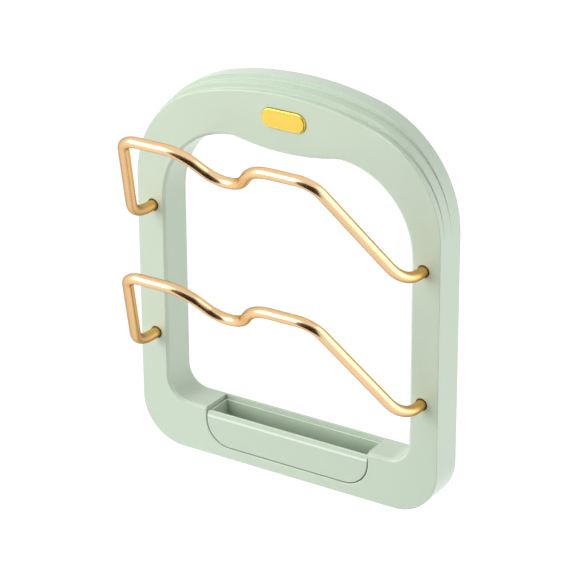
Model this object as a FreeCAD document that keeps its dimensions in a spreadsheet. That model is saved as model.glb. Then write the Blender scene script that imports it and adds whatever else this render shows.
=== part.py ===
"""Wall-hung pot lid rack: an arched hollow frame, two bent-wire hoops and a drip tray.

Millimetres. X runs to the right, Y from the front towards the wall and Z up. The wall is the plane
Y = 0, and the origin lies on it, halfway between the two keyholes that the rack hangs by. Heights in
the sheet are measured from the frame's bottom edge, depths from the wall.
"""

import FreeCAD, Part
import math
import os

import Sketcher
from FreeCAD import Placement, Rotation, Vector

# Driving dimensions
SIZES = {
    "frame_width": 222.0,
    "frame_depth": 25.0,
    "crown_height": 260.6,
    "crown_radius": 212.0,
    "shoulder_radius": 69.0,
    "foot_radius": 31.0,
    "tier_rise": 3.5,
    "tier_shoulder_growth": 4.2,
    "front_tier_depth": 4.6,
    "middle_tier_depth": 8.2,
    "rail_width": 20.7,
    "sill_height": 33.7,
    "crown_bar": 37.9,
    "opening_corner_radius": 14.8,
    "opening_shoulder_radius": 53.6,
    "opening_crest_rise": 4.2,
    "opening_crest_radius": 15.9,
    "opening_crest_offset": 2.4,
    "wall": 2.5,
    "cover_thickness": 2.4,
    "outer_edge_radius": 0.6,
    "window_bevel": 1.6,
    "cover_edge_radius": 0.8,
    "cover_inset": 0.3,
    "wire_diameter": 7.0,
    "hole_inset": 11.8,
    "lower_hoop_height": 78.0,
    "hoop_spacing": 89.6,
    "prong_reach": 21.8,
    "hoop_lean_angle": 34.8,
    "riser_length": 92.2,
    "riser_inset": 32.0,
    "notch_half_width": 25.5,
    "notch_side_angle": 37.5,
    "prong_bend_radius": 32.0,
    "hoop_corner_radius": 15.0,
    "notch_rim_radius": 24.0,
    "notch_floor_radius": 17.8,
    "wire_end_play": 0.2,
    "wire_fit": 0.05,
    "sleeve_wall": 0.6,
    "sleeve_floor": 1.5,
    "sleeve_recess": 0.4,
    "socket_block_height": 14.0,
    "tray_width": 121.0,
    "tray_bottom_height": 8.4,
    "tray_corner_radius": 17.0,
    "tray_gap": 0.7,
    "tray_side_inset": 0.6,
    "tray_heel": 1.2,
    "tray_play": 0.3,
    "tray_wall": 1.6,
    "tray_end_wall": 1.2,
    "tray_front_wall": 3.0,
    "tray_rim_drop": 2.8,
    "tray_bevel_depth": 1.8,
    "tray_bevel_height": 3.4,
    "tray_edge_radius": 0.6,
    "notch_edge_radius": 0.6,
    "badge_length": 32.0,
    "badge_height": 12.8,
    "badge_drop": 15.8,
    "badge_proud": 1.5,
    "badge_recess": 0.8,
    "badge_gap": 0.15,
    "badge_bevel": 0.9,
    "badge_peg_diameter": 2.0,
    "badge_peg_spacing": 16.0,
    "hang_drop": 28.1,
    "keyhole_spacing": 120.0,
    "keyhole_entry_diameter": 9.0,
    "keyhole_slot_width": 4.6,
    "keyhole_slot_rise": 8.0,
    "screw_diameter": 2.9,
    "screw_head_diameter": 5.6,
    "screw_head_height": 1.5,
    "screw_length": 10.0,
    "screw_fit": 0.05,
    "screw_recess_width": 0.7,
    "screw_recess_depth": 0.9,
    "boss_diameter": 7.0,
    "crown_screw_spacing": 60.0,
    "shoulder_screw_offset": 12.0,
    "foot_screw_inset": 16.0,
    "foot_screw_height": 22.0,
}

SHEET = "Sheet"
TIERS = ("front", "middle", "rear")
OUT_FOLDER = "parts"
# Most of a straight run that its two bends may take up
RUN_SHARE = 0.98


class Size:
    """A length worked out from sheet cells: its value now, and the expression that keeps it so."""

    def __init__(self, value, text):
        self.value = value
        self.text = text

    @staticmethod
    def of(other):
        return other if isinstance(other, Size) else Size(float(other), repr(float(other)))

    def __add__(self, other):
        other = Size.of(other)
        return Size(self.value + other.value, f"({self.text} + {other.text})")

    def __sub__(self, other):
        other = Size.of(other)
        return Size(self.value - other.value, f"({self.text} - {other.text})")

    def __mul__(self, other):
        other = Size.of(other)
        return Size(self.value * other.value, f"({self.text} * {other.text})")

    def __truediv__(self, other):
        other = Size.of(other)
        return Size(self.value / other.value, f"({self.text} / {other.text})")

    def __neg__(self):
        return Size(-self.value, f"(0 - {self.text})")


ZERO = Size.of(0)

doc = FreeCAD.newDocument("PotLidRack")
sheet = doc.addObject("Spreadsheet::Sheet", SHEET)
for row, (alias, number) in enumerate(SIZES.items(), start=1):
    sheet.set(f"A{row}", alias)
    sheet.set(f"B{row}", str(number))
    sheet.setAlias(f"B{row}", alias)
doc.recompute()


def cell(alias):
    """One driving dimension as it stands in the sheet."""
    return Size(float(sheet.get(alias)), f"{SHEET}.{alias}")


# Places that several pieces share
half_width = cell("frame_width") / 2
depth = cell("frame_depth")
wall = cell("wall")
cover = cell("cover_thickness")
sill = cell("sill_height")
opening_half = half_width - cell("rail_width")
opening_dip = cell("crown_height") - cell("crown_bar")
hang_height = cell("crown_height") - cell("hang_drop")
wire_radius = cell("wire_diameter") / 2
hole_x = half_width - cell("hole_inset")
hoop_heights = {
    "upper": cell("lower_hoop_height") + cell("hoop_spacing"),
    "lower": cell("lower_hoop_height"),
}
sleeve_bore_radius = wire_radius + cell("wire_fit")
sleeve_radius = sleeve_bore_radius + cell("sleeve_wall")
badge_height_above_bottom = cell("crown_height") - cell("badge_drop")
tier_fronts = {
    "front": depth,
    "middle": depth - cell("front_tier_depth"),
    "rear": depth - cell("front_tier_depth") - cell("middle_tier_depth"),
}
tier_backs = {"front": tier_fronts["middle"], "middle": tier_fronts["rear"], "rear": cover}
slant = math.sqrt(0.5)
shoulder_screw_reach = (cell("opening_shoulder_radius") + cell("shoulder_screw_offset")) * slant
opening_shoulder_x = opening_half - cell("opening_shoulder_radius")
opening_shoulder_height = opening_dip + cell("opening_crest_rise") - cell("opening_shoulder_radius")
screw_places = (
    (cell("crown_screw_spacing") / 2, cell("crown_height") - cell("crown_bar") / 2),
    (opening_shoulder_x + shoulder_screw_reach, opening_shoulder_height + shoulder_screw_reach),
    (half_width - cell("rail_width") / 2, cell("lower_hoop_height") + cell("hoop_spacing") / 2),
    (half_width - cell("foot_screw_inset"), cell("foot_screw_height")),
)


# Sketching helpers
def new_body(name):
    """A body that stands in the wall frame, its own heights counted from the frame's bottom edge."""
    body = doc.addObject("PartDesign::Body", name)
    body.Label = name
    body.Placement = Placement(Vector(0, 0, -hang_height.value), Rotation())
    body.setExpression("Placement.Base.z", (-hang_height).text)
    return body


def origin_plane(body, role):
    return next(plane for plane in body.Origin.OriginFeatures if plane.Role == role)


def new_sketch(body, name, distance):
    """A sketch parallel to the wall, that far in front of it, looking back at the wall."""
    sketch = body.newObject("Sketcher::SketchObject", name)
    sketch.AttachmentSupport = [(origin_plane(body, "XZ_Plane"), "")]
    sketch.MapMode = "FlatFace"
    sketch.AttachmentOffset = Placement(Vector(0, 0, distance.value), Rotation())
    sketch.setExpression("AttachmentOffset.Base.z", distance.text)
    return sketch


def bind(sketch, kind, places, size):
    """A dimension in a sketch that follows the sheet."""
    index = sketch.addConstraint(Sketcher.Constraint(kind, *places, size.value))
    sketch.renameConstraint(index, f"size_{index}")
    sketch.setExpression(f"Constraints.size_{index}", size.text)


def bind_x(sketch, geo, point, size, mirrored=False):
    """Holds a point that far to the right of the middle line, or to the left if mirrored."""
    ends = (geo, point, -1, 1) if mirrored else (-1, 1, geo, point)
    bind(sketch, "DistanceX", ends, size)


def bind_height(sketch, geo, point, size):
    """Holds a point that far above the frame's bottom edge."""
    bind(sketch, "DistanceY", (-1, 1, geo, point), size)


class Loop:
    """A closed outline in a sketch, drawn counter-clockwise from lines and arcs that meet end to end."""

    def __init__(self, sketch):
        self.sketch = sketch
        self.edges = []

    def line(self, start, end, direction):
        geo = self.sketch.addGeometry(Part.LineSegment(Vector(*start, 0), Vector(*end, 0)), False)
        self.sketch.addConstraint(Sketcher.Constraint(direction, geo))
        self.edges.append((geo, 1, 2))
        return geo

    def arc(self, centre, radius, first, last, backwards=False, bound=True):
        """An arc between two angles in radians; backwards if the outline runs along it clockwise.

        An arc whose radius its neighbours already settle isn't bound again.
        """
        circle = Part.Circle(Vector(*centre, 0), Vector(0, 0, 1), radius.value)
        geo = self.sketch.addGeometry(Part.ArcOfCircle(circle, first, last), False)
        if bound:
            bind(self.sketch, "Radius", (geo,), radius)
        self.edges.append((geo, 2, 1) if backwards else (geo, 1, 2))
        return geo

    def close(self, corners=()):
        """Joins each edge to the next one, smoothly unless it is one of the named sharp corners."""
        following = self.edges[1:] + self.edges[:1]
        for index, (edge, after) in enumerate(zip(self.edges, following)):
            kind = "Coincident" if index in corners else "Tangent"
            self.sketch.addConstraint(Sketcher.Constraint(kind, edge[0], edge[2], after[0], after[1]))

    def pin_middle(self, arc, height):
        """Holds the point where an arc crosses the middle line at a height."""
        point = self.sketch.addGeometry(Part.Point(Vector(0, height.value, 0)), True)
        self.sketch.addConstraint(Sketcher.Constraint("PointOnObject", point, 1, -2))
        self.sketch.addConstraint(Sketcher.Constraint("PointOnObject", point, 1, arc))
        bind_height(self.sketch, point, 1, height)


def draw_arch(sketch, tier, inset):
    """Outside of one tier: flat bottom, round feet, straight sides and a three-centred arch.

    The shoulder arcs touch the sides and the crown arc, and each tier towards the wall has a higher
    crown and wider shoulders than the one before it. inset moves the whole outline inwards.
    """
    step = TIERS.index(tier)
    half = half_width - inset
    crown = cell("crown_height") + cell("tier_rise") * step - inset
    crown_radius = cell("crown_radius") - inset
    shoulder = cell("shoulder_radius") + cell("tier_shoulder_growth") * step - inset
    foot = cell("foot_radius") - inset
    centre_z = crown.value - crown_radius.value
    shoulder_x = half.value - shoulder.value
    reach = crown_radius.value - shoulder.value
    shoulder_z = centre_z + math.sqrt(reach**2 - shoulder_x**2)
    turn = math.atan2(shoulder_z - centre_z, shoulder_x)
    foot_x = half.value - foot.value
    foot_z = inset.value + foot.value
    quarter = math.pi / 2

    loop = Loop(sketch)
    bottom = loop.line((-foot_x, inset.value), (foot_x, inset.value), "Horizontal")
    loop.arc((foot_x, foot_z), foot, -quarter, 0)
    right = loop.line((half.value, foot_z), (half.value, shoulder_z), "Vertical")
    loop.arc((shoulder_x, shoulder_z), shoulder, 0, turn)
    top = loop.arc((0, centre_z), crown_radius, turn, math.pi - turn)
    loop.arc((-shoulder_x, shoulder_z), shoulder, math.pi - turn, math.pi)
    left = loop.line((-half.value, shoulder_z), (-half.value, foot_z), "Vertical")
    loop.arc((-foot_x, foot_z), foot, math.pi, math.pi + quarter)
    loop.close()
    bind_x(sketch, right, 1, half)
    bind_x(sketch, left, 1, half, mirrored=True)
    if inset is ZERO:
        sketch.addConstraint(Sketcher.Constraint("PointOnObject", bottom, 1, -1))
    else:
        bind_height(sketch, bottom, 1, inset)
    loop.pin_middle(top, crown)


def draw_opening(sketch, grow):
    """Window outline: round lower corners, wide shoulders and a crown that dips in the middle.

    Each crest arc touches a shoulder arc from inside, and the dipping arc between the two crests
    touches both from outside. grow moves the whole outline outwards.
    """
    half = opening_half + grow
    floor = sill - grow
    corner = cell("opening_corner_radius") + grow
    shoulder = cell("opening_shoulder_radius") + grow
    crest = cell("opening_crest_radius") + grow
    crest_x = opening_shoulder_x + cell("opening_crest_offset")
    dip = opening_dip + grow
    corner_x = half.value - corner.value
    corner_z = floor.value + corner.value
    shoulder_x = half.value - shoulder.value
    shoulder_z = opening_shoulder_height.value
    crest_reach = shoulder.value - crest.value
    crest_z = shoulder_z + math.sqrt(crest_reach**2 - cell("opening_crest_offset").value ** 2)
    sink = dip.value - crest_z
    bulge = (crest_x.value**2 + sink**2 - crest.value**2) / (2 * (crest.value - sink))
    bulge_z = dip.value + bulge
    rise = math.atan2(crest_z - shoulder_z, crest_x.value - shoulder_x)
    over = math.atan2(bulge_z - crest_z, -crest_x.value)
    quarter = math.pi / 2

    loop = Loop(sketch)
    bottom = loop.line((-corner_x, floor.value), (corner_x, floor.value), "Horizontal")
    loop.arc((corner_x, corner_z), corner, -quarter, 0)
    right = loop.line((half.value, corner_z), (half.value, shoulder_z), "Vertical")
    right_shoulder = loop.arc((shoulder_x, shoulder_z), shoulder, 0, rise)
    right_crest = loop.arc((crest_x.value, crest_z), crest, rise, over)
    middle = loop.arc((0, bulge_z), Size.of(bulge), -over, over - math.pi, backwards=True, bound=False)
    left_crest = loop.arc((-crest_x.value, crest_z), crest, math.pi - over, math.pi - rise)
    left_shoulder = loop.arc((-shoulder_x, shoulder_z), shoulder, math.pi - rise, math.pi)
    left = loop.line((-half.value, shoulder_z), (-half.value, corner_z), "Vertical")
    loop.arc((-corner_x, corner_z), corner, math.pi, math.pi + quarter)
    loop.close()
    for edge, point, size in ((right, 1, half), (right_crest, 3, crest_x)):
        bind_x(sketch, edge, point, size)
    for edge, point, size in ((left, 1, half), (left_crest, 3, crest_x)):
        bind_x(sketch, edge, point, size, mirrored=True)
    bind_height(sketch, bottom, 1, floor)
    bind_height(sketch, right_shoulder, 3, opening_shoulder_height)
    bind_height(sketch, left_shoulder, 3, opening_shoulder_height)
    loop.pin_middle(middle, dip)


def draw_trough(sketch, half, bottom, corner, top):
    """U outline of the drip tray: straight sides, round lower corners and a flat, sharp-cornered top."""
    corner_x = half.value - corner.value
    corner_z = bottom.value + corner.value
    quarter = math.pi / 2
    loop = Loop(sketch)
    base = loop.line((-corner_x, bottom.value), (corner_x, bottom.value), "Horizontal")
    loop.arc((corner_x, corner_z), corner, -quarter, 0)
    right = loop.line((half.value, corner_z), (half.value, top.value), "Vertical")
    lid = loop.line((half.value, top.value), (-half.value, top.value), "Horizontal")
    left = loop.line((-half.value, top.value), (-half.value, corner_z), "Vertical")
    loop.arc((-corner_x, corner_z), corner, math.pi, math.pi + quarter)
    loop.close(corners=(2, 3))
    bind_x(sketch, right, 1, half)
    bind_x(sketch, left, 1, half, mirrored=True)
    bind_height(sketch, base, 1, bottom)
    bind_height(sketch, lid, 1, top)


def draw_rectangle(sketch, left, right, bottom, top):
    """A rectangle between two places across, which may lie left of the middle, and two heights."""
    loop = Loop(sketch)
    base = loop.line((left.value, bottom.value), (right.value, bottom.value), "Horizontal")
    side = loop.line((right.value, bottom.value), (right.value, top.value), "Vertical")
    lid = loop.line((right.value, top.value), (left.value, top.value), "Horizontal")
    loop.line((left.value, top.value), (left.value, bottom.value), "Vertical")
    loop.close(corners=range(4))
    for geo, point, size in ((base, 1, left), (side, 1, right)):
        mirrored = size.value < 0
        bind_x(sketch, geo, point, -size if mirrored else size, mirrored)
    bind_height(sketch, base, 1, bottom)
    bind_height(sketch, lid, 1, top)


def draw_pill(sketch, length, height, centre_z):
    """A pill lying across: two half circles joined by straight edges."""
    end = height / 2
    end_x = length / 2 - end
    low = centre_z - end
    high = centre_z + end
    quarter = math.pi / 2
    loop = Loop(sketch)
    loop.line((-end_x.value, low.value), (end_x.value, low.value), "Horizontal")
    right = loop.arc((end_x.value, centre_z.value), end, -quarter, quarter)
    loop.line((end_x.value, high.value), (-end_x.value, high.value), "Horizontal")
    left = loop.arc((-end_x.value, centre_z.value), end, quarter, 3 * quarter, bound=False)
    loop.close()
    bind_x(sketch, right, 3, end_x)
    bind_x(sketch, left, 3, end_x, mirrored=True)
    bind_height(sketch, right, 3, centre_z)


def draw_keyhole(sketch, centre_x, mirrored):
    """A keyhole: a round entry with a narrower slot above it, which the screw's shank slides into."""
    sign = -1 if mirrored else 1
    entry = cell("keyhole_entry_diameter") / 2
    slot = cell("keyhole_slot_width") / 2
    top = hang_height + cell("keyhole_slot_rise")
    opening_angle = math.asin(slot.value / entry.value)
    shoulder_z = hang_height.value + entry.value * math.cos(opening_angle)
    quarter = math.pi / 2
    x = sign * centre_x.value
    loop = Loop(sketch)
    round_entry = loop.arc(
        (x, hang_height.value), entry, quarter + opening_angle, 2 * math.pi + quarter - opening_angle
    )
    loop.line((x + slot.value, shoulder_z), (x + slot.value, top.value), "Vertical")
    round_top = loop.arc((x, top.value), slot, 0, math.pi)
    loop.line((x - slot.value, top.value), (x - slot.value, shoulder_z), "Vertical")
    loop.close(corners=(0, 3))
    for arc, height in ((round_entry, hang_height), (round_top, top)):
        bind_x(sketch, arc, 3, centre_x, mirrored)
        bind_height(sketch, arc, 3, height)


def draw_circles(sketch, places, radius):
    """Equal circles at places right of the middle line, and their mirror images on the left."""
    for x, height in places:
        for mirrored in (False, True):
            sign = -1 if mirrored else 1
            circle = Part.Circle(Vector(sign * x.value, height.value, 0), Vector(0, 0, 1), radius.value)
            geo = sketch.addGeometry(circle, False)
            bind(sketch, "Radius", (geo,), radius)
            bind_x(sketch, geo, 3, x, mirrored)
            bind_height(sketch, geo, 3, height)


# Feature helpers
def pad(body, sketch, name, length):
    """Adds material from the sketch forwards, away from the wall."""
    feature = body.newObject("PartDesign::Pad", name)
    feature.Profile = sketch
    feature.Length = length.value
    feature.setExpression("Length", length.text)
    feature.Refine = True
    doc.recompute()
    return feature


def cut(body, sketch, name, length, forwards):
    """Removes material from the sketch, forwards or back towards the wall, and makes sure it did."""
    before = body.Shape.Volume
    feature = body.newObject("PartDesign::Pocket", name)
    feature.Profile = sketch
    feature.Length = length.value
    feature.setExpression("Length", length.text)
    feature.Reversed = forwards
    feature.Refine = True
    doc.recompute()
    if body.Shape.Volume >= before:
        raise RuntimeError(f"{name} cuts nothing")
    return feature


def edge_names(shape, wanted):
    """Names of the edges whose middle point and ends all pass the test."""
    names = []
    for index, edge in enumerate(shape.Edges, start=1):
        middle = edge.valueAt((edge.FirstParameter + edge.LastParameter) / 2)
        points = [middle] + [vertex.Point for vertex in edge.Vertexes]
        if all(wanted(point) for point in points):
            names.append(f"Edge{index}")
    return names


def round_edges(body, name, wanted, radius):
    """Fillets the edges of a body that pass the test."""
    base = body.Tip
    feature = body.newObject("PartDesign::Fillet", name)
    feature.Base = (base, edge_names(base.Shape, wanted))
    feature.Radius = radius.value
    feature.setExpression("Radius", radius.text)
    doc.recompute()
    return feature


def bevel_edges(body, name, wanted, in_depth, across):
    """Chamfers the edges of a body that pass the test, by one size in depth and one across its face."""
    base = body.Tip
    feature = body.newObject("PartDesign::Chamfer", name)
    feature.Base = (base, edge_names(base.Shape, wanted))
    feature.ChamferType = "Two distances"
    for side, size in (("Size", in_depth), ("Size2", across)):
        setattr(feature, side, size.value)
        feature.setExpression(side, size.text)
    doc.recompute()
    return feature


def near(number, other):
    return abs(number - other) < 1e-4


def in_window(point):
    """Whether a point lies on or inside the upright box round the frame's window."""
    slack = 1e-3
    top = opening_dip.value + cell("opening_crest_rise").value
    across = abs(point.x) <= opening_half.value + slack
    return across and sill.value - slack <= point.z <= top + slack


# Front shell
def make_front_shell():
    body = new_body("front_shell")
    for tier in reversed(TIERS):
        outline = new_sketch(body, f"{tier}_tier_outline", tier_backs[tier])
        draw_arch(outline, tier, ZERO)
        draw_opening(outline, ZERO)
        pad(body, outline, f"{tier}_tier", tier_fronts[tier] - tier_backs[tier])
    front = -depth.value
    round_edges(
        body,
        "outer_front_edge",
        lambda point: near(point.y, front) and not in_window(point),
        cell("outer_edge_radius"),
    )
    bevel = cell("window_bevel")
    bevel_edges(
        body, "window_front_edge", lambda point: near(point.y, front) and in_window(point), bevel, bevel
    )
    for tier in TIERS:
        hollow = new_sketch(body, f"{tier}_hollow_outline", cover)
        draw_arch(hollow, tier, wall)
        draw_opening(hollow, wall)
        cut(body, hollow, f"{tier}_hollow", tier_fronts[tier] - wall - cover, forwards=True)
    add_shell_blocks(body)
    cut_shell_seats(body)
    return body


def add_shell_blocks(body):
    """Solid stretches inside the hollow frame: round the tray, behind the hoop holes and for screws."""
    root = wall / 2
    length = depth - root - cover
    tray_end = cell("tray_width") / 2 + cell("tray_gap") + wall
    tray_block = new_sketch(body, "tray_block_outline", cover)
    draw_rectangle(tray_block, -tray_end, tray_end, root, sill - root)
    pad(body, tray_block, "tray_block", length)
    sockets = new_sketch(body, "socket_block_outlines", cover)
    block_half = cell("socket_block_height") / 2
    for height in hoop_heights.values():
        low = height - block_half
        high = height + block_half
        draw_rectangle(sockets, opening_half + root, half_width - root, low, high)
        draw_rectangle(sockets, -(half_width - root), -(opening_half + root), low, high)
    pad(body, sockets, "socket_blocks", length)
    bosses = new_sketch(body, "screw_boss_outlines", cover)
    draw_circles(bosses, screw_places, cell("boss_diameter") / 2)
    pad(body, bosses, "screw_bosses", length)


def cut_shell_seats(body):
    """Cuts for the pieces that the shell carries: tray, sleeves, badge and screws."""
    gap = cell("tray_gap")
    tray_half = cell("tray_width") / 2
    tray_bottom = cell("tray_bottom_height")
    tray_corner = cell("tray_corner_radius") + gap
    above_sill = sill + wall
    channel = new_sketch(body, "tray_channel_outline", cover)
    draw_trough(
        channel,
        tray_half - cell("tray_side_inset") + gap,
        tray_bottom - cell("tray_heel") - gap,
        tray_corner,
        above_sill,
    )
    cut(body, channel, "tray_channel", depth - wall - cover, forwards=True)
    notch = new_sketch(body, "tray_notch_outline", depth)
    draw_trough(notch, tray_half + gap, tray_bottom - gap, tray_corner, above_sill)
    cut(body, notch, "tray_notch", wall, forwards=False)
    front = -depth.value
    notch_reach = (tray_half + gap).value + 1e-3
    notch_floor = (tray_bottom - gap).value - 1e-3
    round_edges(
        body,
        "tray_notch_edge",
        lambda point: near(point.y, front) and abs(point.x) < notch_reach and notch_floor < point.z,
        cell("notch_edge_radius"),
    )
    bores = new_sketch(body, "sleeve_bore_outlines", depth)
    draw_circles(bores, [(hole_x, height) for height in hoop_heights.values()], sleeve_radius)
    cut(body, bores, "sleeve_bores", depth - cover, forwards=False)
    seat = new_sketch(body, "badge_seat_outline", depth)
    rim = cell("badge_gap") * 2
    draw_pill(seat, cell("badge_length") + rim, cell("badge_height") + rim, badge_height_above_bottom)
    cut(body, seat, "badge_seat", cell("badge_recess"), forwards=False)
    pegs = new_sketch(body, "badge_peg_holes_outline", depth)
    peg_radius = cell("badge_peg_diameter") / 2 + cell("badge_gap")
    draw_circles(pegs, [(cell("badge_peg_spacing") / 2, badge_height_above_bottom)], peg_radius)
    cut(body, pegs, "badge_peg_holes", wall, forwards=False)
    pilots = new_sketch(body, "screw_pilot_outlines", cover)
    draw_circles(pilots, screw_places, cell("screw_diameter") / 2 + cell("screw_fit"))
    cut(body, pilots, "screw_pilots", cell("screw_length"), forwards=True)


# Back cover
def make_back_cover():
    body = new_body("back_cover")
    outline = new_sketch(body, "cover_outline", ZERO)
    draw_arch(outline, "rear", cell("cover_inset"))
    draw_opening(outline, cell("cover_inset"))
    pad(body, outline, "cover_plate", cover)
    round_edges(body, "wall_side_edge", lambda point: near(point.y, 0), cell("cover_edge_radius"))
    keyholes = new_sketch(body, "keyhole_outlines", ZERO)
    for mirrored in (False, True):
        draw_keyhole(keyholes, cell("keyhole_spacing") / 2, mirrored)
    cut(body, keyholes, "keyholes", cover, forwards=True)
    places = new_sketch(body, "screw_hole_places", ZERO)
    draw_circles(places, screw_places, cell("screw_diameter") / 2)
    doc.recompute()
    add_countersinks(body, places)
    return body


def add_countersinks(body, places):
    """Screw holes that widen to a cone on the wall side, where the heads lie flush."""
    before = body.Shape.Volume
    hole = body.newObject("PartDesign::Hole", "screw_holes")
    hole.Profile = places
    bore = cell("screw_diameter") + cell("screw_fit") * 2
    mouth = cell("screw_head_diameter") + cell("screw_fit") * 2
    hole.Threaded = False
    hole.DepthType = "ThroughAll"
    hole.HoleCutType = "Countersink"
    hole.HoleCutCustomValues = True
    hole.Reversed = True
    hole.Diameter = bore.value
    hole.setExpression("Diameter", bore.text)
    hole.HoleCutDiameter = mouth.value
    hole.setExpression("HoleCutDiameter", mouth.text)
    flare = (cell("screw_head_diameter") - cell("screw_diameter")) / 2
    angle = 2 * math.degrees(math.atan2(flare.value, cell("screw_head_height").value))
    hole.HoleCutCountersinkAngle = angle
    hole.setExpression("HoleCutCountersinkAngle", f"2 * atan({flare.text} / {SHEET}.screw_head_height)")
    doc.recompute()
    if body.Shape.Volume >= before:
        raise RuntimeError("screw holes cut nothing")


# Cover screws
def make_cover_screws():
    """Countersunk screws, one solid each, gathered in one piece."""
    screws = []
    for index, (x, height) in enumerate(screw_places, start=1):
        for side, sign in (("right", 1), ("left", -1)):
            screws.append(make_screw(f"screw_{side}_{index}", x * sign, height))
    group = doc.addObject("Part::Compound", "cover_screws")
    group.Label = "cover_screws"
    group.Links = screws
    return group


def place(feature, x, distance, height, turned=True):
    """Stands a primitive in front of the wall; turned ones point forwards along their own axis."""
    rotation = Rotation(Vector(1, 0, 0), 90) if turned else Rotation()
    base = Vector(x.value, -distance.value, (height - hang_height).value)
    feature.Placement = Placement(base, rotation)
    feature.setExpression("Placement.Base.x", x.text)
    feature.setExpression("Placement.Base.y", (-distance).text)
    feature.setExpression("Placement.Base.z", (height - hang_height).text)


def primitive(kind, name, **sizes):
    """A Part primitive whose sizes follow the sheet."""
    feature = doc.addObject(kind, name)
    for prop, size in sizes.items():
        setattr(feature, prop, size.value)
        feature.setExpression(prop, size.text)
    return feature


def combine(kind, name, base, tool):
    feature = doc.addObject(kind, name)
    feature.Base = base
    feature.Tool = tool
    return feature


def make_screw(name, x, height):
    """A flat conical head, a plain shank and a crossed drive recess in the head."""
    radius = cell("screw_diameter") / 2
    head_radius = cell("screw_head_diameter") / 2
    head = primitive("Part::Cone", f"{name}_head", Radius1=head_radius, Radius2=radius,
                     Height=cell("screw_head_height"))
    place(head, x, ZERO, height)
    shank = primitive("Part::Cylinder", f"{name}_shank", Radius=radius, Height=cell("screw_length"))
    place(shank, x, ZERO, height)
    screw = combine("Part::Fuse", f"{name}_blank", head, shank)
    slot_long = cell("screw_diameter")
    slot_wide = cell("screw_recess_width")
    for label, across, tall in (("bar", slot_long, slot_wide), ("post", slot_wide, slot_long)):
        slot = primitive("Part::Box", f"{name}_{label}", Length=across, Width=cell("screw_recess_depth"),
                         Height=tall)
        place(slot, x - across / 2, cell("screw_recess_depth"), height - tall / 2, turned=False)
        screw = combine("Part::Cut", f"{name}_{label}_cut", screw, slot)
    return screw


# Hoop sleeves
def make_sleeve(name, x, height):
    """A soft cup that lines a hoop socket: the wire's end stops at its closed inner end."""
    length = depth - cell("sleeve_recess") - cover
    outside = primitive("Part::Cylinder", f"{name}_outside", Radius=sleeve_radius, Height=length)
    place(outside, x, cover, height)
    bore = primitive("Part::Cylinder", f"{name}_bore", Radius=sleeve_bore_radius, Height=length)
    place(bore, x, cover + cell("sleeve_floor"), height)
    sleeve = combine("Part::Cut", name, outside, bore)
    sleeve.Label = name
    return sleeve


# Wire hoops
def rounded_path(corners, radii):
    """A wire of straight runs joined by arcs that touch both runs at each corner.

    Where two bends need more than the run between them, both are drawn tighter in proportion.
    """
    backs = [(before - corner).normalize() for before, corner in zip(corners, corners[1:-1])]
    aheads = [(after - corner).normalize() for corner, after in zip(corners[1:-1], corners[2:])]
    half_angles = [back.getAngle(ahead) / 2 for back, ahead in zip(backs, aheads)]
    touches = [radius / math.tan(half) for radius, half in zip(radii, half_angles)]
    runs = [(after - before).Length for before, after in zip(corners, corners[1:])]
    needs = [first + last for first, last in zip([0] + touches, touches + [0])]
    room = [min(1, RUN_SHARE * run / need) for run, need in zip(runs, needs)]
    edges = []
    start = corners[0]
    for index, corner in enumerate(corners[1:-1]):
        ease = min(room[index], room[index + 1])
        touch = touches[index] * ease
        radius = radii[index] * ease
        first = corner + backs[index] * touch
        last = corner + aheads[index] * touch
        inward = (backs[index] + aheads[index]).normalize()
        middle = corner + inward * (radius / math.sin(half_angles[index]) - radius)
        edges.append(Part.LineSegment(start, first).toShape())
        edges.append(Part.Arc(first, middle, last).toShape())
        start = last
    edges.append(Part.LineSegment(start, corners[-1]).toShape())
    return Part.Wire(edges)


def hoop_corners(height):
    """Corner points of one hoop: prongs straight out of the frame, then a loop in a leaning plane.

    The risers draw in towards the top, and the crossbar between them dips into a round-bottomed V.
    """
    lean = math.radians(cell("hoop_lean_angle").value)
    along = Vector(0, -math.sin(lean), math.cos(lean))
    base = Vector(0, -(depth + cell("prong_reach")).value, (height - hang_height).value)
    rise = cell("riser_length").value
    end_depth = cover + cell("sleeve_floor") + cell("wire_end_play")
    spread = hole_x.value
    notch_half = cell("notch_half_width").value
    notch_depth = notch_half / math.tan(math.radians(cell("notch_side_angle").value))
    right = [
        Vector(spread, -end_depth.value, base.z),
        base + Vector(spread, 0, 0),
        base + Vector(spread - cell("riser_inset").value, 0, 0) + along * rise,
        base + Vector(notch_half, 0, 0) + along * rise,
    ]
    left = [Vector(-corner.x, corner.y, corner.z) for corner in reversed(right)]
    return right + [base + along * (rise - notch_depth)] + left


def make_hoop(name, height):
    """Round wire swept along the hoop's path."""
    bends = [
        cell("prong_bend_radius").value,
        cell("hoop_corner_radius").value,
        cell("notch_rim_radius").value,
    ]
    floor_bend = [cell("notch_floor_radius").value]
    path = doc.addObject("Part::Feature", f"{name}_path")
    path.Shape = rounded_path(hoop_corners(height), bends + floor_bend + bends[::-1])
    section = primitive("Part::Circle", f"{name}_section", Radius=wire_radius)
    place(section, hole_x, cover + cell("sleeve_floor") + cell("wire_end_play"), height)
    hoop = doc.addObject("Part::Sweep", name)
    hoop.Label = name
    hoop.Sections = [section]
    hoop.Spine = (path, [f"Edge{index}" for index in range(1, len(path.Shape.Edges) + 1)])
    hoop.Solid = True
    hoop.Frenet = False
    return hoop


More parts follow.
